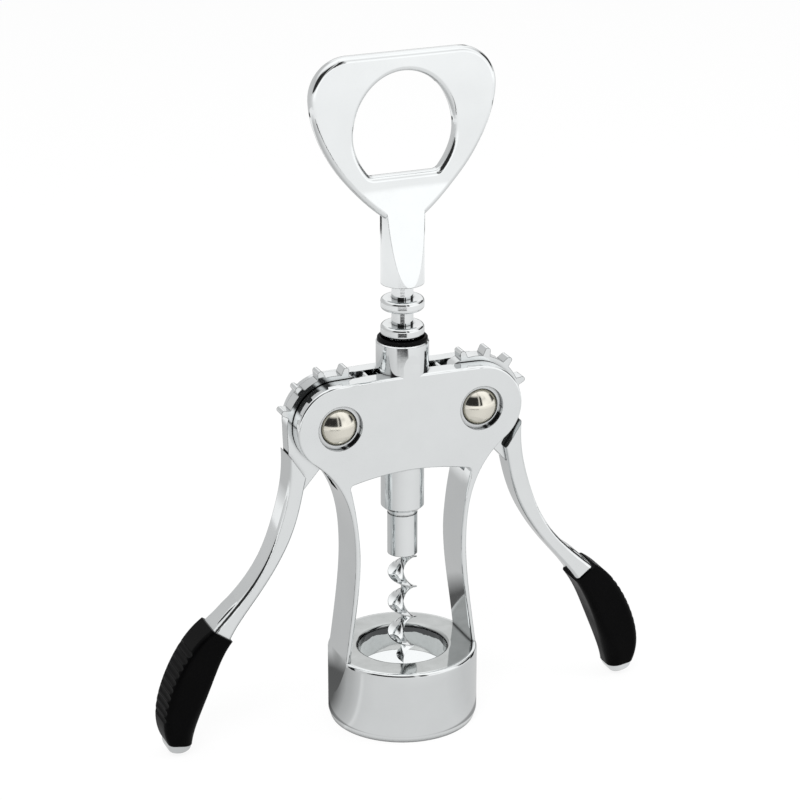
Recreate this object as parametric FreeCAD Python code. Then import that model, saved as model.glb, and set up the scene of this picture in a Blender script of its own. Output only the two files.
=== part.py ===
"""Wing corkscrew: chromed frame with two geared levers, a ringed rack and a pressed-in worm.

Millimetres, +Z up, X across the two levers, Y from front to back.
The origin is the centre of the bell's foot, so the object stands on the plane z = 0.
The rest position has the levers down and the rack at the top of its travel.
"""
import FreeCAD, Part

import math
import os

from FreeCAD import Vector

os.makedirs("parts", exist_ok=True)

# Bell, which sits on the bottle's mouth
bell_radius = 17.5
bell_height = 17.5
bell_foot_bevel = 0.5
bell_foot_bevel_height = 1.6
bell_rim_round = 0.8
seat_radius = 15.3
seat_depth = 10.6
passage_radius = 10.4
passage_round = 1.0

# Head of the frame, one casting with the legs and the bell
frame_depth = 11.4
frame_edge_round = 0.5
window_corner_round = 0.9
pivot_x = 17.25
pivot_z = 75.95
end_radius = 10.1
head_top_z = 86.3
arch_crown_z = 63.3
arch_foot_x = 15.0
arch_foot_z = 61.4
end_arc_stop = -52.0

# Legs, waisted straps from the head down into the bell
leg_waist_x = 13.8
leg_waist_z = 43.0
leg_thickness = 1.3
leg_foot_x = 17.5
leg_foot_sink = 9.5
leg_foot_thickness = 2.3
leg_foot_lean = 0.09
leg_head_pull = 10.0
leg_waist_pull = 10.5
leg_foot_pull = 11.0
arch_foot_lean = 0.3
arch_foot_pull = 4.5

# Slot for the levers and bore for the rack
slot_width = 3.6
pocket_width = 4.1
pocket_x = 11.2
slot_floor_z = 59.6

# Collar and guide bush
collar_radius = 6.05
collar_height = 6.9
collar_sink = 3.0
collar_flat_height = 2.5
collar_flat_end = 5.3
bush_flange_radius = 5.75
bush_flange_height = 0.9
bush_sleeve_radius = 5.5
bush_sleeve_length = 5.0
bush_seat_fit = 0.03
bush_flange_fit = 0.04

# Spindle: opener handle, ringed rack and plain lower barrel
spindle_radius = 5.0
spindle_fit = 0.05
bore_clearance = 0.12
rack_pitch = 6.2
rack_core_radius = 2.5
rack_ring_height = 2.7
rack_ring_round = 0.85
rack_grooves = 6
mesh_drop = 1.96
barrel_bottom_z = 52.4
barrel_chamfer = 0.6
travel = 27.0
stop_gap = 1.5
spigot_radius = 2.2
spigot_length = 9.0

# Opener head of the handle, measured down from its top
head_half_width = 22.0
head_length = 37.1
head_corner_radius = 9.0
head_flank_x = 14.5
head_flank_drop = 27.6
head_flank_way = (-0.62, -0.78)
head_flank_pull = 5.0
head_side_pull = 7.0
head_neck_way = (-0.8, -0.6)
head_neck_pull = 4.0
head_neck_sink = 1.3
head_plate_depth = 3.2
head_edge_round = 1.2
opener_half_width = 11.95
opener_rim = 4.3
opener_crown = 13.85
opener_height = 23.2
opener_lip_half = 8.0
opener_lip_way = (-0.65, -0.76)
opener_side_pull = 3.4
opener_corner_radius = 1.8
flare_top_pull = 3.0
flare_end_way = (0.24, -1)
flare_end_pull = 6.0

# Worm, a rod with one deep round groove cut into it, ground to a point
shank_radius = 3.5
worm_radius = 3.4
worm_core_radius = 0.45
worm_land = 0.25
worm_pitch = 7.65
worm_right_z = 31.5
worm_root_z = 40.9
worm_tip_z = 11.3
worm_point_length = 7.0
worm_socket_depth = 9.0
worm_socket_fit = 0.02
shank_groove_z = 51.0
shank_groove_width = 0.3
shank_groove_depth = 0.15

# Levers
gear_pitch_radius = 12.5
tooth_tip_radius = 13.2
tooth_root_radius = 10.95
tooth_base_width = 2.3
tooth_tip_width = 1.4
teeth = 7
hub_radius = 11.3
hub_thickness = 3.4
hub_outer_x = 28.5
arm_outer_points = [(28.6, 70.2), (28.9, 63.3), (30.4, 56.4), (33.0, 48.7),
                    (36.7, 41.9), (41.3, 36.4), (47.6, 30.5)]
arm_inner_points = [(24.6, 64.0), (25.4, 60.2), (27.1, 53.3), (30.1, 46.3),
                    (34.2, 39.8), (38.7, 34.1), (43.6, 27.6)]
arm_half_depths = [3.4, 3.3, 3.1, 3.0, 3.0, 3.2, 3.85]
arm_edge_round = 0.9

# Grips moulded over the lever ends
grip_outer_points = [(48.1, 30.9), (55.0, 23.55), (59.2, 14.0), (60.0, 7.9), (59.0, 3.6)]
grip_inner_points = [(43.2, 27.2), (47.2, 19.7), (50.3, 11.4), (52.0, 6.2), (53.0, 2.6)]
grip_half_depths = [4.5, 4.6, 4.6, 4.4, 4.1]
grip_outer_rounds = [1.1, 1.5, 1.6, 1.5, 1.3]
grip_inner_rounds = [1.1, 1.7, 2.7, 3.4, 2.9]
grip_ribs = 10
grip_rib_pitch = 1.9
grip_rib_start = 7.5
grip_rib_radius = 1.0
grip_rib_depth = 0.32
tang_width = 2.8
tang_half_depth = 2.6
tip_length = 2.7
tip_share = 0.9

# Pivot rivets, in two halves pressed together
rivet_dome_radius = 4.4
rivet_dome_height = 2.3
rivet_recess_radius = 5.25
rivet_recess_depth = 1.0
rivet_tube_radius = 2.4
rivet_pin_radius = 1.5
rivet_fit = 0.05
hub_bore_fit = 0.06

# Values that follow from the ones above
frame_half = frame_depth / 2
collar_top_z = head_top_z + collar_height
collar_flat_z = head_top_z + collar_flat_height
collar_flat_end_z = head_top_z + collar_flat_end
leg_foot_z = bell_height - leg_foot_sink
bush_top_z = collar_top_z + bush_flange_fit + bush_flange_height
shoulder_z = bush_top_z + travel + stop_gap
head_top = shoulder_z + head_length
opener_top_z = head_top - opener_rim
opener_wide_z = opener_top_z - opener_crown
opener_lip_z = opener_top_z - opener_height
first_groove_z = pivot_z - mesh_drop
groove_height = rack_pitch - rack_ring_height
rack_top_z = first_groove_z + (rack_grooves - 1) * rack_pitch + groove_height / 2
frame_bore_radius = spindle_radius + bore_clearance
hub_bore_radius = rivet_tube_radius + hub_bore_fit


def xz(point, y=0.0):
    """A point of the XZ plane, at a depth y."""
    return Vector(point[0], y, point[1])


def polar(radius, degrees):
    """A point on a circle about the right-hand pivot."""
    angle = math.radians(degrees)
    return (pivot_x + radius * math.cos(angle), pivot_z + radius * math.sin(angle))


def mirrored(shape):
    return shape.mirror(Vector(0, 0, 0), Vector(1, 0, 0))


def line(a, b):
    return Part.makeLine(xz(a), xz(b))


def arc(a, b, c):
    return Part.Arc(xz(a), xz(b), xz(c)).toShape()


def spline(points):
    """A smooth edge through the points."""
    curve = Part.BSplineCurve()
    curve.interpolate(Points=[xz(p) for p in points])
    return curve.toShape()


def bend(start, start_way, start_pull, end, end_way, end_pull):
    """A smooth edge that leaves one point and reaches another in the given directions."""
    a = xz(start)
    b = xz(end)
    curve = Part.BezierCurve()
    curve.setPoles([a, a + xz(start_way).normalize() * start_pull,
                    b - xz(end_way).normalize() * end_pull, b])
    return curve.toShape()


def quarter(side, top):
    """A quarter of an ellipse, from its widest point on the right up to its crown."""
    k = 4 * (math.sqrt(2) - 1) / 3
    return bend(side, (0, 1), k * (top[1] - side[1]), top, (-1, 0), k * side[0])


def slab(edges, depth):
    """The outline in the XZ plane, extruded to equal depth in front and behind."""
    wire = Part.Wire(Part.__sortEdges__(edges))
    face = Part.Face(wire)
    face.translate(Vector(0, -depth / 2, 0))
    return face.extrude(Vector(0, depth, 0))


def rod(radius, z0, z1):
    return Part.makeCylinder(radius, z1 - z0, Vector(0, 0, z0))


def cross_rod(radius, x, z, y0, y1):
    """A rod along Y."""
    return Part.makeCylinder(radius, y1 - y0, Vector(x, y0, z), Vector(0, 1, 0))


def block(x0, x1, y0, y1, z0, z1):
    return Part.makeBox(x1 - x0, y1 - y0, z1 - z0, Vector(x0, y0, z0))


def turned(points):
    """A solid turned about the Z axis from (radius, z) points."""
    wire = Part.makePolygon([xz(p) for p in points + points[:1]])
    return Part.Face(wire).revolve(Vector(0, 0, 0), Vector(0, 0, 1), 360)


def edges_at_depth(shape, y):
    """The edges that lie wholly in the plane at a depth y."""
    return [e for e in shape.Edges
            if abs(e.BoundBox.YMin - y) < 1e-4 and abs(e.BoundBox.YMax - y) < 1e-4]


def crown_touch():
    """Where the crowned top of the head runs into its round right-hand end."""
    rise = head_top_z - pivot_z - end_radius
    drop = (pivot_x ** 2 - rise ** 2) / (2 * rise)
    reach = math.hypot(pivot_x, drop)
    return (pivot_x + end_radius * pivot_x / reach, pivot_z + end_radius * drop / reach)


def leg_outer_edges():
    """The right-hand outer edge, from the head's round end down to the bell's wall."""
    stop = math.radians(end_arc_stop)
    waist = (leg_waist_x, leg_waist_z)
    return [
        bend(polar(end_radius, end_arc_stop), (math.sin(stop), -math.cos(stop)), leg_head_pull,
             waist, (0, -1), leg_waist_pull),
        bend(waist, (0, -1), leg_waist_pull,
             (leg_foot_x, leg_foot_z), (leg_foot_lean, -1), leg_foot_pull),
    ]


def frame_side_edges():
    """The right half of the front outline, from the crowned top to the arch's foot."""
    touch = crown_touch()
    waist = (leg_waist_x - leg_thickness, leg_waist_z)
    foot = (leg_foot_x - leg_foot_thickness, bell_height - 0.5)
    buried = (foot[0], leg_foot_z)
    return [
        arc(touch, (pivot_x + end_radius, pivot_z), polar(end_radius, end_arc_stop)),
        *leg_outer_edges(),
        line((leg_foot_x, leg_foot_z), buried),
        line(buried, foot),
        bend((arch_foot_x, arch_foot_z), (-arch_foot_lean, -1), arch_foot_pull,
             waist, (0, -1), leg_waist_pull / 2),
        bend(waist, (0, -1), leg_waist_pull * 0.8, foot, (leg_foot_lean, -1), leg_foot_pull * 0.7),
    ]


def bell():
    wall = [
        (seat_radius, 0),
        (bell_radius - bell_foot_bevel, 0),
        (bell_radius, bell_foot_bevel_height),
        (bell_radius, bell_height),
        (passage_radius, bell_height),
        (passage_radius, seat_depth),
        (seat_radius, seat_depth),
    ]
    ring = turned(wall)
    rims = [e for e in ring.Edges
            if abs(e.BoundBox.ZMin - bell_height) < 1e-4 and abs(e.BoundBox.XMax - bell_radius) < 0.1]
    ring = ring.makeFillet(bell_rim_round, rims)
    lip = [e for e in ring.Edges
           if abs(e.BoundBox.ZMin - bell_height) < 1e-4 and abs(e.BoundBox.XMax - passage_radius) < 0.1]
    ring = ring.makeFillet(passage_round, lip)
    far = 2 * bell_radius
    foot = (leg_foot_x, leg_foot_z)
    waist = (leg_waist_x, leg_waist_z)
    outside = [leg_outer_edges()[1], line(foot, (far, leg_foot_z)),
               line((far, leg_foot_z), (far, leg_waist_z)), line((far, leg_waist_z), waist)]
    shave = slab(outside, 4 * bell_radius)
    return ring.cut([shave, mirrored(shave)])


def collar():
    """The round neck of the casting, flattened where the head's two faces run up into it."""
    foot_z = head_top_z - collar_sink
    neck = rod(collar_radius, foot_z, collar_top_z)
    rim = [e for e in neck.Edges if e.BoundBox.ZMin > collar_top_z - 0.01]
    neck = neck.makeChamfer(0.25, rim)
    clear = collar_radius + 0.05
    half = [(frame_half, foot_z), (frame_half, collar_flat_z),
            (clear, collar_flat_end_z), (clear, collar_top_z)]
    outline = half + [(-y, z) for y, z in reversed(half)]
    wire = Part.makePolygon([Vector(-clear, y, z) for y, z in outline + outline[:1]])
    return neck.common(Part.Face(wire).extrude(Vector(2 * clear, 0, 0)))


def frame_casting():
    right = frame_side_edges()
    left = [mirrored(e) for e in right]
    touch = crown_touch()
    top = arc((-touch[0], touch[1]), (0, head_top_z), touch)
    arch = arc((-arch_foot_x, arch_foot_z), (0, arch_crown_z), (arch_foot_x, arch_foot_z))
    body = slab(right + left + [top, arch], frame_depth)
    corners = [e for e in body.Edges if e.BoundBox.YLength > frame_depth - 0.1
               and abs(e.BoundBox.ZMin - arch_foot_z) < 1e-3]
    body = body.makeFillet(window_corner_round, corners)
    rims = edges_at_depth(body, -frame_half) + edges_at_depth(body, frame_half)
    body = body.makeFillet(frame_edge_round, [e for e in rims if e.BoundBox.ZMax > bell_height])
    around = Part.makeCylinder(2 * bell_radius, 2 * bell_height).cut(
        Part.makeCylinder(bell_radius, 2 * bell_height))
    around.translate(Vector(0, 0, leg_foot_z - bell_height * 1.5))
    body = body.cut(around)
    body = body.fuse([collar(), bell()])

    reach = pivot_x + 2 * end_radius
    tall = collar_top_z + collar_height
    slot = block(-reach, reach, -slot_width / 2, slot_width / 2, slot_floor_z, head_top_z + 0.01)
    cuts = [slot, rod(frame_bore_radius, slot_floor_z, tall)]
    cuts.append(rod(bush_sleeve_radius + bush_seat_fit,
                    collar_top_z - bush_sleeve_length - bush_flange_fit, tall))
    for side in (-1, 1):
        near = min(side * pocket_x, side * reach)
        cuts.append(block(near, near + reach - pocket_x, -pocket_width / 2, pocket_width / 2,
                          slot_floor_z, head_top_z + 1))
        x = side * pivot_x
        cuts.append(cross_rod(rivet_tube_radius + rivet_fit, x, pivot_z, -frame_depth, frame_depth))
        for y0 in (-frame_depth, frame_half - rivet_recess_depth):
            y1 = y0 + frame_depth - frame_half + rivet_recess_depth
            cuts.append(cross_rod(rivet_recess_radius, x, pivot_z, y0, y1))
    return body.cut(cuts)


def guide_bush():
    inner = spindle_radius + spindle_fit
    flange_z = collar_top_z + bush_flange_fit
    foot = collar_top_z - bush_sleeve_length
    return turned([
        (inner, foot), (bush_sleeve_radius, foot), (bush_sleeve_radius, flange_z),
        (bush_flange_radius, flange_z), (bush_flange_radius, bush_top_z - 0.3),
        (bush_flange_radius - 0.3, bush_top_z), (inner, bush_top_z),
    ])


def rivet_dome(height, radius):
    """A shallow round head on the plane y = 0, bulging towards -Y."""
    ball = (radius ** 2 + height ** 2) / (2 * height)
    sphere = Part.makeSphere(ball, Vector(0, ball - height, 0))
    return sphere.common(Part.makeBox(4 * radius, height + 1, 4 * radius,
                                      Vector(-2 * radius, -height - 1, -2 * radius)))


def rivet_tube_half():
    """The front head and its tube, which is the axle that the lever turns on."""
    seat = -(frame_half - rivet_recess_depth)
    head = rivet_dome(rivet_dome_height, rivet_dome_radius)
    head.translate(Vector(0, seat, 0))
    tube = cross_rod(rivet_tube_radius, 0, 0, seat, -seat)
    hole = cross_rod(rivet_pin_radius, 0, 0, seat + 1, -seat)
    return head.fuse(tube).cut(hole)


def rivet_pin_half():
    """The rear head and its pin, pressed into the tube."""
    seat = frame_half - rivet_recess_depth
    head = rivet_dome(rivet_dome_height, rivet_dome_radius)
    head.rotate(Vector(0, 0, 0), Vector(0, 0, 1), 180)
    head.translate(Vector(0, seat, 0))
    pin = cross_rod(rivet_pin_radius, 0, 0, -seat + 2, seat)
    return head.fuse(pin)


def at_pivot(shape, side):
    placed = shape.copy()
    placed.translate(Vector(side * pivot_x, 0, pivot_z))
    return placed


def opener_outline():
    """The edges of the opener head, down into the barrel on both sides."""
    corner = head_half_width - head_corner_radius
    shoulder = head_top - head_corner_radius
    mid = head_corner_radius * math.sqrt(0.5)
    flank = (head_flank_x, head_top - head_flank_drop)
    neck = (spindle_radius, shoulder_z)
    sunk = (neck[0] + head_neck_sink * head_neck_way[0], neck[1] + head_neck_sink * head_neck_way[1])
    right = [
        arc((corner, head_top), (corner + mid, shoulder + mid), (head_half_width, shoulder)),
        bend((head_half_width, shoulder), (0, -1), head_side_pull, flank, head_flank_way, head_flank_pull),
        bend(flank, head_flank_way, head_flank_pull, neck, head_neck_way, head_neck_pull),
        line(neck, sunk),
    ]
    left = [mirrored(e) for e in right]
    return right + left + [line((-corner, head_top), (corner, head_top)), line((-sunk[0], sunk[1]), sunk)]


def opener_hole():
    """The arched hole with a straight lip, for lifting crown caps."""
    wide = (opener_half_width, opener_wide_z)
    lip = (opener_lip_half, opener_lip_z)
    right = [
        quarter(wide, (0, opener_top_z)),
        bend(wide, (0, -1), opener_side_pull, lip, opener_lip_way, opener_side_pull),
    ]
    left = [mirrored(e) for e in right]
    hole = slab(right + left + [line((-lip[0], lip[1]), lip)], 3 * head_plate_depth)
    corners = [e for e in hole.Edges if abs(e.BoundBox.YLength - 3 * head_plate_depth) < 1e-4
               and abs(e.BoundBox.ZMax - opener_lip_z) < 1e-4]
    return hole.makeFillet(opener_corner_radius, corners)


def handle_profile():
    """Side view of the handle: a flat plate whose faces flare out to the round barrel."""
    half = head_plate_depth / 2
    flare_z = opener_lip_z - 2 * head_edge_round
    above = head_top + 1
    front = [
        Part.makeLine(Vector(0, -half, above), Vector(0, -half, flare_z)),
        bend((-half, flare_z), (0, -1), flare_top_pull, (-spindle_radius, rack_top_z),
             (-flare_end_way[0], flare_end_way[1]), flare_end_pull).rotate(Vector(), Vector(0, 0, 1), 90),
    ]
    back = [e.mirror(Vector(), Vector(0, 1, 0)) for e in front]
    ends = [
        Part.makeLine(Vector(0, -half, above), Vector(0, half, above)),
        Part.makeLine(Vector(0, -spindle_radius, rack_top_z), Vector(0, spindle_radius, rack_top_z)),
    ]
    face = Part.Face(Part.Wire(Part.__sortEdges__(front + back + ends)))
    face.translate(Vector(-2 * head_half_width, 0, 0))
    return face.extrude(Vector(4 * head_half_width, 0, 0))


def across_flare(edge):
    """Whether an edge is a straight seam across the plate, where the flare begins."""
    box = edge.BoundBox
    return box.ZLength < 1e-4 and box.YLength < 1e-4 and box.ZMax < opener_lip_z


def opener_handle():
    profile = handle_profile()
    plate = slab(opener_outline(), 2 * spindle_radius).cut(opener_hole()).common(profile)
    sunk_z = shoulder_z + head_neck_sink * head_neck_way[1]
    rims = [e for e in plate.Edges if e.BoundBox.ZMax > sunk_z + 0.1
            and (e.BoundBox.YMax < -0.1 or e.BoundBox.YMin > 0.1) and not across_flare(e)]
    plate = plate.makeFillet(head_edge_round, rims)
    barrel = rod(spindle_radius, rack_top_z, shoulder_z + 1.2).common(profile)
    socket = rod(spigot_radius, rack_top_z - 1, rack_top_z + spigot_length)
    return barrel.fuse(plate).cut(socket)


def rack_ring(z):
    """One ring of the rack, with well rounded edges."""
    ring = rod(spindle_radius, z - rack_ring_height / 2, z + rack_ring_height / 2)
    rims = [e for e in ring.Edges if e.BoundBox.ZLength < 1e-4]
    return ring.makeFillet(rack_ring_round, rims)


def rack():
    """The ringed shaft that the levers' teeth drive, and the plain barrel below it."""
    core = rod(rack_core_radius, first_groove_z - rack_pitch, rack_top_z)
    spigot = rod(spigot_radius, rack_top_z - 1, rack_top_z + spigot_length)
    shoulder = first_groove_z - groove_height / 2
    barrel = rod(spindle_radius, barrel_bottom_z, shoulder)
    ends = [e for e in barrel.Edges if e.BoundBox.ZLength < 1e-4]
    barrel = barrel.makeChamfer(barrel_chamfer, ends)
    rings = [rack_ring(first_groove_z + (n + 0.5) * rack_pitch) for n in range(rack_grooves - 1)]
    socket = rod(shank_radius + worm_socket_fit, barrel_bottom_z - 1, barrel_bottom_z + worm_socket_depth)
    return core.fuse([spigot, barrel] + rings).cut(socket)


def worm_flank(inner, side):
    """One side of the ridge, hollowed by the round groove."""
    half_land = worm_land / 2
    half_root = worm_pitch / 2 - 0.1
    rise = half_root - half_land
    run = worm_radius - inner
    groove_x = (worm_radius + inner) / 2 + rise ** 2 / (2 * run)
    groove_radius = groove_x - inner
    middle_angle = math.atan2(rise, groove_x - worm_radius) / 2
    bulge = (groove_x - groove_radius * math.cos(middle_angle),
             side * (half_root - groove_radius * math.sin(middle_angle)))
    return arc((inner, side * half_root), bulge, (worm_radius, side * half_land))


def worm():
    """The shank and, below it, the left-handed screw that the photograph shows."""
    inner = 0.6 * worm_core_radius
    half_root = worm_pitch / 2 - 0.1
    edges = [
        worm_flank(inner, -1),
        worm_flank(inner, 1),
        line((inner, -half_root), (inner, half_root)),
        line((worm_radius, -worm_land / 2), (worm_radius, worm_land / 2)),
    ]
    profile = Part.Wire(Part.__sortEdges__(edges))
    low = worm_tip_z - 1
    helix = Part.makeHelix(worm_pitch, worm_root_z + worm_pitch / 2 - low, worm_radius, 0, True)
    ridge = Part.Wire(helix.Edges).makePipeShell([profile], True, True)
    ridge.rotate(Vector(0, 0, 0), Vector(0, 0, 1), -360 * (low - worm_right_z) / worm_pitch)
    ridge.translate(Vector(0, 0, low))
    screw = ridge.fuse(rod(worm_core_radius, low, worm_root_z + 1))
    screw = screw.cut(rod(2 * shank_radius, worm_root_z + 1, worm_root_z + 2 * worm_pitch))
    wide = 2 * shank_radius
    grinding = turned([
        (0, worm_tip_z - worm_pitch), (wide, worm_tip_z - worm_pitch),
        (wide, worm_tip_z + 1.1 * worm_point_length),
        (1.1 * worm_radius, worm_tip_z + 1.1 * worm_point_length), (0, worm_tip_z),
    ])
    screw = screw.cut(grinding)
    shank = rod(shank_radius, worm_root_z, barrel_bottom_z + worm_socket_depth - 0.1)
    groove = rod(2 * shank_radius, shank_groove_z, shank_groove_z + shank_groove_width)
    groove = groove.cut(rod(shank_radius - shank_groove_depth, shank_groove_z - 1, shank_groove_z + 1))
    return screw.fuse(shank.cut(groove))


def tooth():
    """One slender tooth on the +X side of a hub centred on the origin."""
    half_base = tooth_base_width / 2
    half_tip = tooth_tip_width / 2
    base_x = tooth_root_radius - 1
    shoulder_x = tooth_tip_radius - half_tip
    edges = [
        line((base_x, half_base), (base_x, -half_base)),
        line((base_x, -half_base), (shoulder_x, -half_tip)),
        arc((shoulder_x, -half_tip), (tooth_tip_radius, 0), (shoulder_x, half_tip)),
        line((shoulder_x, half_tip), (base_x, half_base)),
    ]
    return slab(edges, hub_thickness)


def gear_hub():
    """The toothed disc between the frame's cheeks and the web that carries the arm."""
    step = math.degrees(rack_pitch / gear_pitch_radius)
    first = 180 + math.degrees(mesh_drop / gear_pitch_radius)
    disc = cross_rod(hub_radius, 0, 0, -hub_thickness / 2, hub_thickness / 2)
    disc = disc.fuse([tooth().rotate(Vector(0, 0, 0), Vector(0, -1, 0), first - step * n)
                      for n in range(teeth)])
    return at_pivot(disc, 1)


def rounded_section(outer, inner, half_depth, outer_round, inner_round):
    """A rounded rectangle across the lever, between an outer and an inner point."""
    a = xz(outer)
    b = xz(inner)
    across = (b - a).normalize()
    width = (b - a).Length
    deep = Vector(0, half_depth, 0)
    corners = [a - deep, b - deep, b + deep, a + deep]
    edges = []
    ends = []
    for n, wanted in enumerate((outer_round, inner_round, inner_round, outer_round)):
        r = min(wanted, 0.45 * width, 0.9 * half_depth)
        corner = corners[n]
        before = (corners[n - 1] - corner).normalize()
        after = (corners[(n + 1) % 4] - corner).normalize()
        p0 = corner + before * r
        p1 = corner + (before + after) * (r * (1 - math.sqrt(0.5)))
        p2 = corner + after * r
        edges.append(Part.Arc(p0, p1, p2).toShape())
        ends.append((p0, p2))
    for n in range(4):
        edges.append(Part.makeLine(ends[n][1], ends[(n + 1) % 4][0]))
    return Part.Wire(Part.__sortEdges__(edges))


def lofted(outer, inner, half_depths, outer_rounds, inner_rounds):
    sections = [rounded_section(*values)
                for values in zip(outer, inner, half_depths, outer_rounds, inner_rounds)]
    return Part.makeLoft(sections, True, False)


def middle(outer, inner):
    return ((outer[0] + inner[0]) / 2, (outer[1] + inner[1]) / 2)


def tang_points():
    """Outer and inner points of the metal core inside the grip."""
    outer = []
    inner = []
    for o, i in zip(grip_outer_points, grip_inner_points):
        centre = middle(o, i)
        width = math.hypot(o[0] - i[0], o[1] - i[1])
        share = tang_width / 2 / width
        outer.append((centre[0] + (o[0] - i[0]) * share, centre[1] + (o[1] - i[1]) * share))
        inner.append((centre[0] - (o[0] - i[0]) * share, centre[1] - (o[1] - i[1]) * share))
    return outer, inner


def lever():
    arm_rounds = [arm_edge_round] * len(arm_half_depths)
    arm = lofted(arm_outer_points, arm_inner_points, arm_half_depths, arm_rounds, arm_rounds)
    web_points = [
        polar(hub_radius, 0), (hub_outer_x, pivot_z - 2), (hub_outer_x - 0.3, arm_outer_points[1][1] + 3),
        arm_inner_points[1], polar(hub_radius - 0.5, -72),
    ]
    web = slab([line(a, b) for a, b in zip(web_points, web_points[1:] + web_points[:1])], hub_thickness)
    outer, inner = tang_points()
    tang = lofted([arm_outer_points[-2]] + outer[1:], [arm_inner_points[-2]] + inner[1:],
                  [tang_half_depth] * len(outer), [0.5] * len(outer), [0.5] * len(outer))
    body = gear_hub().fuse([web, arm, tang, lever_tip()])
    return body.cut(cross_rod(hub_bore_radius, pivot_x, pivot_z, -hub_thickness, hub_thickness))


def lever_tip():
    """The rounded metal end that shows below the grip."""
    o = grip_outer_points[-1]
    i = grip_inner_points[-1]
    across = Vector(o[0] - i[0], 0, o[1] - i[1]).normalize()
    down = Vector(across.z, 0, -across.x)
    centre = xz(middle(o, i))
    half = (xz(o) - xz(i)).Length / 2
    sections = []
    for share, drop in ((1.0, 0.0), (0.97, 0.4), (0.8, 0.75), (0.45, 1.0)):
        share *= tip_share
        a = centre + across * (half * share) + down * (tip_length * drop)
        b = centre - across * (half * share) + down * (tip_length * drop)
        depth = grip_half_depths[-1] * share
        sections.append(rounded_section((a.x, a.z), (b.x, b.z), depth, 1.3, 1.9))
    return Part.makeLoft(sections, True, False)


def grip_ribbing():
    """Rods that press a row of shallow grooves across the outer face of the grip."""
    curve = spline(grip_outer_points).Curve
    reach = 2 * grip_half_depths[0]
    rods = []
    for n in range(grip_ribs):
        along = curve.parameterAtDistance(grip_rib_start + n * grip_rib_pitch)
        point = curve.value(along)
        way = curve.tangent(along)[0]
        out = Vector(-way.z, 0, way.x).normalize()
        if out.x < 0:
            out = -out
        axis = point + out * (grip_rib_radius - grip_rib_depth)
        rods.append(cross_rod(grip_rib_radius, axis.x, axis.z, -reach, reach))
    return rods


def grip(bare_lever):
    shell = lofted(grip_outer_points, grip_inner_points, grip_half_depths,
                   grip_outer_rounds, grip_inner_rounds)
    return shell.cut(grip_ribbing()).cut(bare_lever)


def write(name, shape):
    solid = shape.removeSplitter().Solids[0]
    solid.exportStep("parts/" + name + ".step")
    print(name, "solids", len(shape.Solids), "valid", solid.isValid(), "volume", round(solid.Volume, 2))


right_lever = lever()
right_grip = grip(right_lever)
write("frame_casting", frame_casting())
write("guide_bush", guide_bush())
write("opener_handle", opener_handle())
write("rack", rack())
write("worm", worm())
write("right_lever", right_lever)
write("left_lever", mirrored(right_lever))
write("right_grip", right_grip)
write("left_grip", mirrored(right_grip))
for name, side in (("left", -1), ("right", 1)):
    write(name + "_rivet_tube", at_pivot(rivet_tube_half(), side))
    write(name + "_rivet_pin", at_pivot(rivet_pin_half(), side))
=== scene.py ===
"""Looks of the wing corkscrew: chrome, nickel, black nylon and soft black grips in a white studio."""

import math

import bpy
from mathutils import Matrix, Vector

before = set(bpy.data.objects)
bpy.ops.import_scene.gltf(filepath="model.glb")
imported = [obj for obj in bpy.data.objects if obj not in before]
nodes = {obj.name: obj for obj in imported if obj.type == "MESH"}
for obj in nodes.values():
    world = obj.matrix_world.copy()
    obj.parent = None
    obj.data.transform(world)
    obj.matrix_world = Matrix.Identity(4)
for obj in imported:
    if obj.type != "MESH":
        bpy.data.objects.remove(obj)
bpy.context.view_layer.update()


def grey(tone):
    return (tone, tone, tone, 1.0)


# Camera, found from the photograph: a long lens, to the object's left and above it
LENS = 130.1
SENSOR_WIDTH = 36.0
PITCH = math.radians(20.93)
YAW = math.radians(-22.35)
DISTANCE = 0.65684
AIM = Vector((0.0, 0.0, 0.080))
AIM_RIGHT = -0.00054
AIM_UP = -0.00147

# Studio: each light has a name, a place, a size and a power
LIGHTS = (
    ("key", (-0.5, -0.6, 0.9), (0.6, 0.6), 9.0),
    ("fill", (0.8, -0.4, 0.6), (0.5, 0.7), 5.0),
    ("top", (0.0, 0.2, 1.1), (0.8, 0.8), 6.0),
)
FLOOR_RADIUS = 3.0
FLOOR_SIDES = 64
FLOOR_COLOUR = grey(0.86)
FLOOR_CLEAN_SHARE = 0.90
SKY_COLOUR = grey(0.80)
SKY_STRENGTH = 0.55
WHITE = grey(1.0)
BLACK = grey(0.0)
DARK = (0.008, 0.008, 0.009, 1.0)

# Level directions: where a front face looks when seen from the camera, to its right, and to the camera
GLANCE = (0.38, -0.925)
ACROSS = (0.925, 0.38)
CAMERA_WAY = (-0.38, -0.925)

# What the metal sees on the floor, as (share of the ramp, brightness), from behind to ahead
# Round the foot the floor is painted darker, as the object's shadow seen in the metal
FLOOR_SHADOW_ROUND_FOOT = ((0.0, 0.10), (0.10, 0.12), (0.16, 0.25), (0.25, 0.46), (0.32, 0.52), (0.40, 0.62),
                    (0.43, 0.78), (0.47, 0.70), (0.60, 0.74), (1.0, 0.755))
FLOOR_MIDDLE = ((0.0, 0.56), (0.35, 0.62), (0.75, 0.80), (1.0, 0.88))
FLOOR_PLAIN = grey(1.02)
FLOOR_GAP = ((0.0, 0.02), (0.62, 0.03), (0.80, 1.02), (1.0, 1.04))
FLOOR_OUT = ((0.0, 0.65), (0.50, 0.80), (0.80, 1.04), (1.0, 1.06))
FLOOR_FAR = ((0.0, 0.65), (0.50, 0.80), (0.80, 1.20), (1.0, 1.25))
FLOOR_IN_BELL = grey(1.20)
RIGHT_SHADE = 0.12

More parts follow.
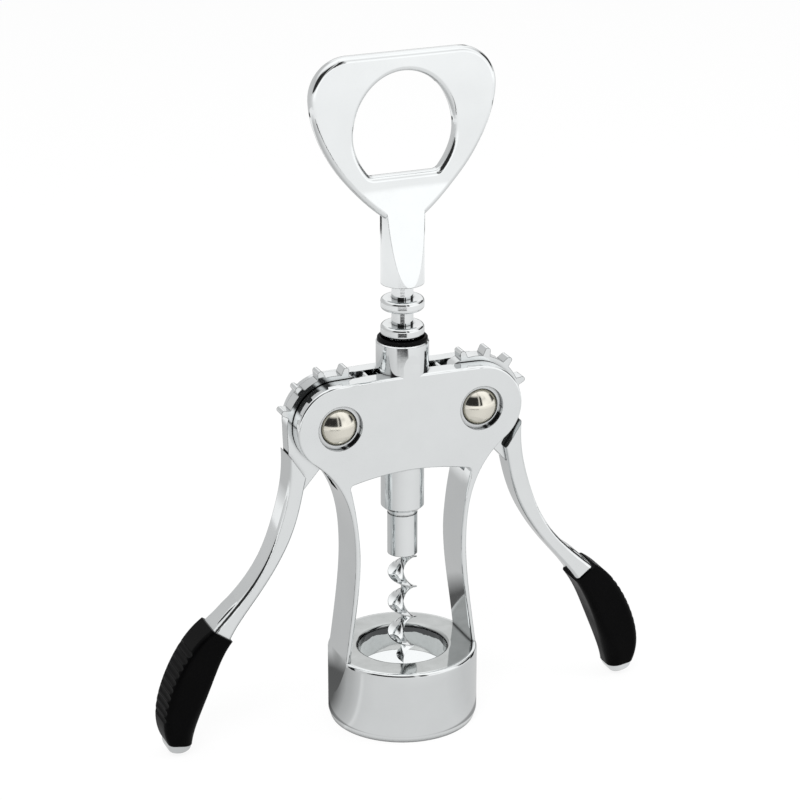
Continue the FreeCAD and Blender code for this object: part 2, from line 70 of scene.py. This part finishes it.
# Where one floor tone gives way to the next: distance from the foot's centre, and half the change
BELL_HOLE_ENDS = (0.016, 0.0005)
FOOT_ENDS = (0.052, 0.006)
MIDDLE_ENDS = (0.285, 0.045)
PLAIN_ENDS = (0.373, 0.003)
GAP_ENDS = (0.405, 0.005)
OUT_ENDS = (0.70, 0.15)
GAP_SIDE = (-0.085, 0.035)

# Dark marks on the floor as the metal sees it, the onlooker and a painted contact shadow round the foot:
# from, to and half the change
ONLOOKER = (0.259, 0.298, 0.003)
ONLOOKER_SIDE = (0.92, 0.02)
CONTACT_SHADOW = (0.0185, 0.0203, 0.0003)
CONTACT_SHADOW_SHARE = 0.5

# What the metal sees in the sky, as (height, brightness), from the horizon up
SKY_CAMERA = ((0.0, 0.90), (0.03, 0.03), (0.66, 0.03), (0.80, 1.00), (1.0, 1.25))
SKY_AHEAD = ((0.0, 1.25), (0.30, 1.15), (0.50, 0.85), (0.62, 1.05), (1.0, 1.30))
SKY_RIGHT = ((0.0, 1.10), (0.40, 1.15), (1.0, 1.30))
SKY_FAR_RIGHT = ((0.0, 0.70), (0.06, 0.04), (0.42, 0.04), (0.50, 0.70), (1.0, 1.25))
SKY_BACK_LEFT = ((0.0, 0.65), (0.45, 0.62), (0.70, 1.00), (1.0, 1.30))
SKY_BACK_RIGHT = ((0.0, 0.85), (0.06, 0.05), (0.13, 0.05), (0.22, 0.95), (1.0, 1.30))
SKY_STREAK = grey(0.80)

# Where one sky gives way to the next, as a share of the way across or ahead, and half the change
CAMERA_SKY_ENDS = (-0.12, 0.04)
AHEAD_SKY_ENDS = (0.325, 0.075)
RIGHT_SKY_ENDS = (0.75, 0.05)
BACK_LEFT_SKY_ENDS = (0.40, 0.05)
BACK_SKY_ENDS = (-0.125, 0.075)
STREAK = (-0.43, -0.32, 0.03)

# Finishes
CHROME = (0.79, 0.81, 0.815, 1.0)
# Painted shade: the dark colour put on sharp edges, in tight crevices and under the rim of the bell's
# passage
PAINTED_DARK_SHADE = (0.03, 0.03, 0.032, 1.0)
# Painted shade: the darker grey on the bell's upper face and in its passage
PAINTED_GREY_SHADE = (0.44, 0.455, 0.45, 1.0)
NICKEL = (0.77, 0.745, 0.665, 1.0)
NYLON = (0.0022, 0.0022, 0.0024, 1.0)
GRIP = (0.0009, 0.0009, 0.001, 1.0)

# Surface detail: noise scales per metre, depths and reaches in metres
SMEAR_SCALE = 90.0
SMEAR_SHADE = 0.965
GRAIN_SCALE = 1400.0
GRAIN_DEPTH = 0.00002
TURNING_DEPTH = 0.00001
CLOUD_SCALE = 120.0
CLOUD_SHADE = 1.6
# Painted shade on sharp edges and in tight crevices: the edge width, the crevice reach and the samples
EDGE_RADIUS = 0.0003
CREVICE_REACH = 0.0016
LINE_SAMPLES = 6

# Painted shade on the bell, in metres: heights above the floor and distances from its axis
BELL_SHADE_HEIGHTS = (0.0105, 0.0178, 0.0002)
BELL_SHADE_RADIUS = (0.01655, 0.00025)
BELL_SHADE_SCALE = 220.0
RIM_LOW = 0.0149
RIM_HIGH = 0.0155
RIM_TOP = (0.0170, 0.0001)
RIM_RADIUS = (0.01175, 0.00025)
RIM_SCALE = 320.0
RIM_SHARE = 0.9

CASTINGS = ("opener_handle", "left_lever", "right_lever")
TURNED = ("rack", "worm")
RIVETS = ("left_rivet_tube", "left_rivet_pin", "right_rivet_tube", "right_rivet_pin")
GRIPS = ("left_grip", "right_grip")


class Graph:
    """Short names for building a node tree."""

    def __init__(self, tree):
        self.tree = tree
        tree.nodes.clear()

    def add(self, kind, values=None, **settings):
        node = self.tree.nodes.new(kind)
        for name, value in settings.items():
            setattr(node, name, value)
        for socket, value in (values or {}).items():
            if isinstance(value, bpy.types.NodeSocket):
                self.tree.links.new(value, node.inputs[socket])
            else:
                node.inputs[socket].default_value = value
        return node

    def math(self, operation, a, b=0.0, clamp=False):
        return self.add("ShaderNodeMath", {0: a, 1: b}, operation=operation, use_clamp=clamp).outputs[0]

    def noise(self, where, scale, detail=2.0, roughness=0.5):
        values = {"Vector": where, "Scale": scale, "Detail": detail, "Roughness": roughness}
        return self.add("ShaderNodeTexNoise", values).outputs["Fac"]

    def spread(self, value, low, high, to_low, to_high):
        """value from low..high, mapped to to_low..to_high and held there."""
        values = {"Value": value, "From Min": low, "From Max": high, "To Min": to_low, "To Max": to_high}
        return self.add("ShaderNodeMapRange", values).outputs["Result"]

    def ramp(self, value, stops):
        """Grey brightness along a value from 0 to 1."""
        node = self.add("ShaderNodeValToRGB", {"Fac": value})
        elements = node.color_ramp.elements
        while len(elements) < len(stops):
            elements.new(0.5)
        for element, (place, tone) in zip(elements, stops):
            element.position = place
        for element, (place, tone) in zip(elements, stops):
            element.color = (tone, tone, tone, 1.0)
        return node.outputs["Color"]

    def blend(self, factor, a, b):
        node = self.add("ShaderNodeMix", data_type="RGBA")
        for socket, value in ((0, factor), (6, a), (7, b)):
            if isinstance(value, bpy.types.NodeSocket):
                self.tree.links.new(value, node.inputs[socket])
            else:
                node.inputs[socket].default_value = value
        return node.outputs[2]


def new_material(name):
    material = bpy.data.materials.new(name)
    material.use_nodes = True
    return material, Graph(material.node_tree)


def along(g, split, way):
    """How far a level direction points one way, from -1 to 1."""
    return g.math("ADD", g.math("MULTIPLY", split.outputs["X"], way[0]),
                  g.math("MULTIPLY", split.outputs["Y"], way[1]))


def above(g, value, limit, soft):
    """1 above the limit and 0 below it, with a soft change."""
    return g.spread(value, limit - soft, limit + soft, 0.0, 1.0)


def below(g, value, limit, soft):
    """1 below the limit and 0 above it, with a soft change."""
    return g.spread(value, limit - soft, limit + soft, 1.0, 0.0)


def within(g, value, low, high, soft):
    """1 between low and high, with soft ends."""
    return g.math("MULTIPLY", above(g, value, low, soft), below(g, value, high, soft))


def shade_edges_and_crevices(g, colour):
    """Paints shade into the colour: dark lines along sharp edges, as painted dark reflections, and darker
    tight crevices, as painted shade.
    """
    rounded = g.add("ShaderNodeBevel", {"Radius": EDGE_RADIUS}, samples=LINE_SAMPLES).outputs["Normal"]
    normal = g.add("ShaderNodeNewGeometry").outputs["Normal"]
    match = g.add("ShaderNodeVectorMath", {0: rounded, 1: normal}, operation="DOT_PRODUCT").outputs["Value"]
    sharp = g.spread(match, 0.88, 0.975, 0.90, 0.0)
    open_sky = g.add("ShaderNodeAmbientOcclusion", {"Distance": CREVICE_REACH}, samples=LINE_SAMPLES)
    tight = g.spread(open_sky.outputs["AO"], 0.30, 0.70, 0.85, 0.0)
    # Painted shade: sharp edges and tight crevices blend towards a dark colour
    return g.blend(g.math("MAXIMUM", sharp, tight), colour, PAINTED_DARK_SHADE)


def paint_bell_shade(g, where, colour):
    """Painted shade on the bell: a darker, cloudy grey on its upper face and in its passage, and a dark
    band under the passage's rim.
    """
    split = g.add("ShaderNodeSeparateXYZ", {0: where})
    height = split.outputs["Z"]
    flat = g.add("ShaderNodeCombineXYZ", {0: split.outputs["X"], 1: split.outputs["Y"]}).outputs["Vector"]
    out = g.add("ShaderNodeVectorMath", {0: flat}, operation="LENGTH").outputs["Value"]
    inside = g.math("MULTIPLY", within(g, height, *BELL_SHADE_HEIGHTS), below(g, out, *BELL_SHADE_RADIUS))
    cloud = g.spread(g.noise(where, BELL_SHADE_SCALE, 4.0, 0.65), 0.30, 0.70, 0.75, 1.0)
    # Painted shade: a darker, cloudy grey on the upper face and in the passage
    bell_shade = g.blend(g.math("MULTIPLY", inside, cloud), colour, PAINTED_GREY_SHADE)
    ragged = g.spread(g.noise(where, RIM_SCALE, 3.0, 0.6), 0.30, 0.70, RIM_LOW, RIM_HIGH)
    under = g.math("MULTIPLY", g.math("GREATER_THAN", height, ragged), below(g, height, *RIM_TOP))
    rim = g.math("MULTIPLY", under, below(g, out, *RIM_RADIUS))
    # Painted shade: a dark band under the passage's rim
    return g.blend(g.math("MULTIPLY", rim, RIM_SHARE), bell_shade, PAINTED_DARK_SHADE)


def shade(colour, share):
    return tuple(part * share for part in colour[:3]) + (1.0,)


def finish(g, values):
    shader = g.add("ShaderNodeBsdfPrincipled", values)
    g.add("ShaderNodeOutputMaterial", {"Surface": shader.outputs[0]})


def metal(name, colour, rough, wave, wave_depth, rings=0.0, bell_shade=False):
    """Plated metal: slow waves of the surface, faint smears in the gloss, and turning marks if asked."""
    material, g = new_material(name)
    where = g.add("ShaderNodeTexCoord").outputs["Object"]
    smear = g.noise(where, SMEAR_SCALE, 4.0, 0.6)
    smeared = g.spread(smear, 0.40, 0.75, 0.0, 1.0)
    tint = g.blend(smeared, colour, shade(colour, SMEAR_SHADE))
    # Painted shade on the bell, where asked
    if bell_shade:
        tint = paint_bell_shade(g, where, tint)
    slow = g.add("ShaderNodeBump", {"Height": g.noise(where, wave, 1.0), "Strength": 1.0,
                                    "Distance": wave_depth})
    bump = g.add("ShaderNodeBump", {"Height": g.noise(where, GRAIN_SCALE, 2.0), "Strength": 0.05,
                                    "Distance": GRAIN_DEPTH, "Normal": slow.outputs["Normal"]})
    if rings:
        values = {"Vector": where, "Scale": rings, "Distortion": 0.3, "Detail": 2.0}
        waves = g.add("ShaderNodeTexWave", values, wave_type="BANDS", bands_direction="Z")
        bump = g.add("ShaderNodeBump", {"Height": waves.outputs["Fac"], "Strength": 0.10,
                                        "Distance": TURNING_DEPTH, "Normal": bump.outputs["Normal"]})
    # The base colour carries the painted shade of edges and crevices
    finish(g, {"Metallic": 1.0, "Base Color": shade_edges_and_crevices(g, tint),
               "Roughness": g.spread(smear, 0.35, 0.70, *rough), "Normal": bump.outputs["Normal"]})
    return material


def plastic(name, colour, rough, gloss, grain_scale, grain_depth):
    """Moulded black plastic with a fine grain and slightly uneven gloss."""
    material, g = new_material(name)
    where = g.add("ShaderNodeTexCoord").outputs["Object"]
    cloud = g.noise(where, CLOUD_SCALE, 3.0)
    worn = g.spread(cloud, 0.45, 0.80, 0.0, 1.0)
    bump = g.add("ShaderNodeBump", {"Height": g.noise(where, grain_scale, 3.0), "Strength": 0.35,
                                    "Distance": grain_depth})
    finish(g, {"Base Color": g.blend(worn, colour, shade(colour, CLOUD_SHADE)), "IOR": 1.5,
               "Roughness": g.spread(cloud, 0.35, 0.70, *rough), "Specular IOR Level": gloss,
               "Normal": bump.outputs["Normal"]})
    return material


def dress(names, material):
    for name in names:
        slots = nodes[name].data.materials
        slots.clear()
        slots.append(material)


def make_camera():
    right = Vector((math.cos(YAW), math.sin(YAW), 0.0))
    level = math.cos(PITCH)
    back = Vector((math.sin(YAW) * level, -math.cos(YAW) * level, math.sin(PITCH)))
    up = back.cross(right)
    data = bpy.data.cameras.new("camera")
    data.sensor_width = SENSOR_WIDTH
    data.lens = LENS
    data.clip_start = 0.01
    data.clip_end = 20.0
    camera = bpy.data.objects.new("camera", data)
    turn = Matrix((right, up, back)).transposed().to_4x4()
    turn.translation = AIM + right * AIM_RIGHT + up * AIM_UP + back * DISTANCE
    camera.matrix_world = turn
    bpy.context.scene.collection.objects.link(camera)
    bpy.context.scene.camera = camera


def area_light(name, place, size, power):
    """A soft light aimed at the object, which the metal doesn't mirror."""
    data = bpy.data.lights.new(name, "AREA")
    data.shape = "RECTANGLE"
    data.size, data.size_y = size
    data.energy = power
    light = bpy.data.objects.new(name, data)
    light.location = place
    light.rotation_mode = "QUATERNION"
    light.rotation_quaternion = (AIM - Vector(place)).to_track_quat("-Z", "Y")
    light.visible_glossy = False
    bpy.context.scene.collection.objects.link(light)


def switched(g, kind, plain, special):
    """The special shader for one kind of ray and the plain one for the rest."""
    ray = g.add("ShaderNodeLightPath").outputs[kind]
    return g.add("ShaderNodeMixShader", {0: ray, 1: plain, 2: special}).outputs[0]


def floor_tone(g):
    """The floor as the metal sees it: painted shadow round the foot, paler further out, with a few dark
    marks: the onlooker and a painted contact shadow.
    """
    place = g.add("ShaderNodeNewGeometry").outputs["Position"]
    away = g.add("ShaderNodeVectorMath", {0: place}, operation="LENGTH").outputs["Value"]
    heading = g.add("ShaderNodeVectorMath", {0: place}, operation="NORMALIZE").outputs["Vector"]
    split = g.add("ShaderNodeSeparateXYZ", {0: heading})
    ahead = g.spread(along(g, split, GLANCE), -1.0, 1.0, 0.0, 1.0)
    across = along(g, split, ACROSS)
    right = g.spread(across, 0.2, 0.7, 0.0, RIGHT_SHADE)
    # Painted shadow round the foot, as the metal sees it
    tone = g.blend(right, g.ramp(ahead, FLOOR_SHADOW_ROUND_FOOT), BLACK)
    tone = g.blend(below(g, away, *BELL_HOLE_ENDS), tone, FLOOR_IN_BELL)
    tone = g.blend(above(g, away, *FOOT_ENDS), tone, g.ramp(ahead, FLOOR_MIDDLE))
    tone = g.blend(above(g, away, *MIDDLE_ENDS), tone, FLOOR_PLAIN)
    gap = g.math("MULTIPLY", above(g, away, *PLAIN_ENDS), above(g, across, *GAP_SIDE))
    tone = g.blend(gap, tone, g.ramp(ahead, FLOOR_GAP))
    tone = g.blend(above(g, away, *GAP_ENDS), tone, g.ramp(ahead, FLOOR_OUT))
    tone = g.blend(above(g, away, *OUT_ENDS), tone, g.ramp(ahead, FLOOR_FAR))
    toward = above(g, along(g, split, CAMERA_WAY), *ONLOOKER_SIDE)
    onlooker = g.math("MULTIPLY", toward, within(g, away, *ONLOOKER))
    # Painted contact shadow: a thin dark ring round the foot
    contact_shadow = g.math("MULTIPLY", within(g, away, *CONTACT_SHADOW), CONTACT_SHADOW_SHARE)
    return g.blend(g.math("MAXIMUM", onlooker, contact_shadow), tone, DARK)


def make_floor():
    """A plain white floor, with other tones for what the metal mirrors."""
    mesh = bpy.data.meshes.new("floor")
    turns = [2 * math.pi * n / FLOOR_SIDES for n in range(FLOOR_SIDES)]
    rim = [(FLOOR_RADIUS * math.cos(turn), FLOOR_RADIUS * math.sin(turn), 0.0) for turn in turns]
    mesh.from_pydata(rim, [], [tuple(range(FLOOR_SIDES))])
    floor = bpy.data.objects.new("floor", mesh)
    bpy.context.scene.collection.objects.link(floor)
    material, g = new_material("floor_white")
    matt = g.add("ShaderNodeBsdfDiffuse", {"Color": FLOOR_COLOUR}).outputs[0]
    clean = g.add("ShaderNodeEmission", {"Color": WHITE, "Strength": 1.0}).outputs[0]
    mirrored = g.add("ShaderNodeEmission", {"Color": floor_tone(g), "Strength": 1.0}).outputs[0]
    shown = g.add("ShaderNodeMixShader", {0: FLOOR_CLEAN_SHARE, 1: matt, 2: clean}).outputs[0]
    body = switched(g, "Is Camera Ray", matt, shown)
    g.add("ShaderNodeOutputMaterial", {"Surface": switched(g, "Is Glossy Ray", body, mirrored)})
    mesh.materials.append(material)


def sky_tone(g):
    """The sky as the metal sees it: white above, with a dark side to the camera's left and a few bands."""
    way = g.add("ShaderNodeTexCoord").outputs["Generated"]
    height = g.add("ShaderNodeSeparateXYZ", {0: way}).outputs["Z"]
    flat = g.add("ShaderNodeVectorMath", {0: way, 1: (1.0, 1.0, 0.0)}, operation="MULTIPLY")
    level = g.add("ShaderNodeVectorMath", {0: flat.outputs["Vector"]}, operation="NORMALIZE")
    split = g.add("ShaderNodeSeparateXYZ", {0: level.outputs["Vector"]})
    ahead = along(g, split, GLANCE)
    across = along(g, split, ACROSS)
    front = g.blend(above(g, across, *CAMERA_SKY_ENDS), g.ramp(height, SKY_CAMERA),
                    g.ramp(height, SKY_AHEAD))
    front = g.blend(within(g, across, *STREAK), front, SKY_STREAK)
    front = g.blend(above(g, across, *AHEAD_SKY_ENDS), front, g.ramp(height, SKY_RIGHT))
    front = g.blend(above(g, across, *RIGHT_SKY_ENDS), front, g.ramp(height, SKY_FAR_RIGHT))
    back = g.blend(above(g, across, *BACK_LEFT_SKY_ENDS), g.ramp(height, SKY_BACK_LEFT),
                   g.ramp(height, SKY_BACK_RIGHT))
    return g.blend(above(g, ahead, *BACK_SKY_ENDS), back, front)


def make_world():
    """White for the camera, soft grey light for the rest, with other tones for what the metal mirrors."""
    world = bpy.data.worlds.new("studio")
    world.use_nodes = True
    bpy.context.scene.world = world
    g = Graph(world.node_tree)
    soft = g.add("ShaderNodeBackground", {"Color": SKY_COLOUR, "Strength": SKY_STRENGTH}).outputs[0]
    mirrored = g.add("ShaderNodeBackground", {"Color": sky_tone(g), "Strength": 1.0}).outputs[0]
    clean = g.add("ShaderNodeBackground", {"Color": WHITE, "Strength": 1.0}).outputs[0]
    body = switched(g, "Is Glossy Ray", soft, mirrored)
    g.add("ShaderNodeOutputWorld", {"Surface": switched(g, "Is Camera Ray", body, clean)})


make_camera()
make_floor()
make_world()
for name, place, size, power in LIGHTS:
    area_light(name, place, size, power)

casting_chrome = metal("casting_chrome", CHROME, (0.05, 0.10), 70.0, 0.00012)
# The frame's bell carries painted shade on its upper face, in its passage and under the passage's rim
frame_chrome = metal("frame_chrome", CHROME, (0.05, 0.10), 70.0, 0.00012, bell_shade=True)
turned_chrome = metal("turned_chrome", CHROME, (0.04, 0.08), 90.0, 0.00003, rings=900.0)
rivet_nickel = metal("rivet_nickel", NICKEL, (0.10, 0.16), 120.0, 0.00003)
bush_nylon = plastic("bush_nylon", NYLON, (0.35, 0.48), 0.05, 2500.0, 0.00003)
soft_black = plastic("soft_black", GRIP, (0.30, 0.44), 0.045, 1800.0, 0.00008)
dress(CASTINGS, casting_chrome)
dress(("frame_casting",), frame_chrome)
dress(TURNED, turned_chrome)
dress(RIVETS, rivet_nickel)
dress(("guide_bush",), bush_nylon)
dress(GRIPS, soft_black)

bpy.context.scene.view_settings.view_transform = "Standard"
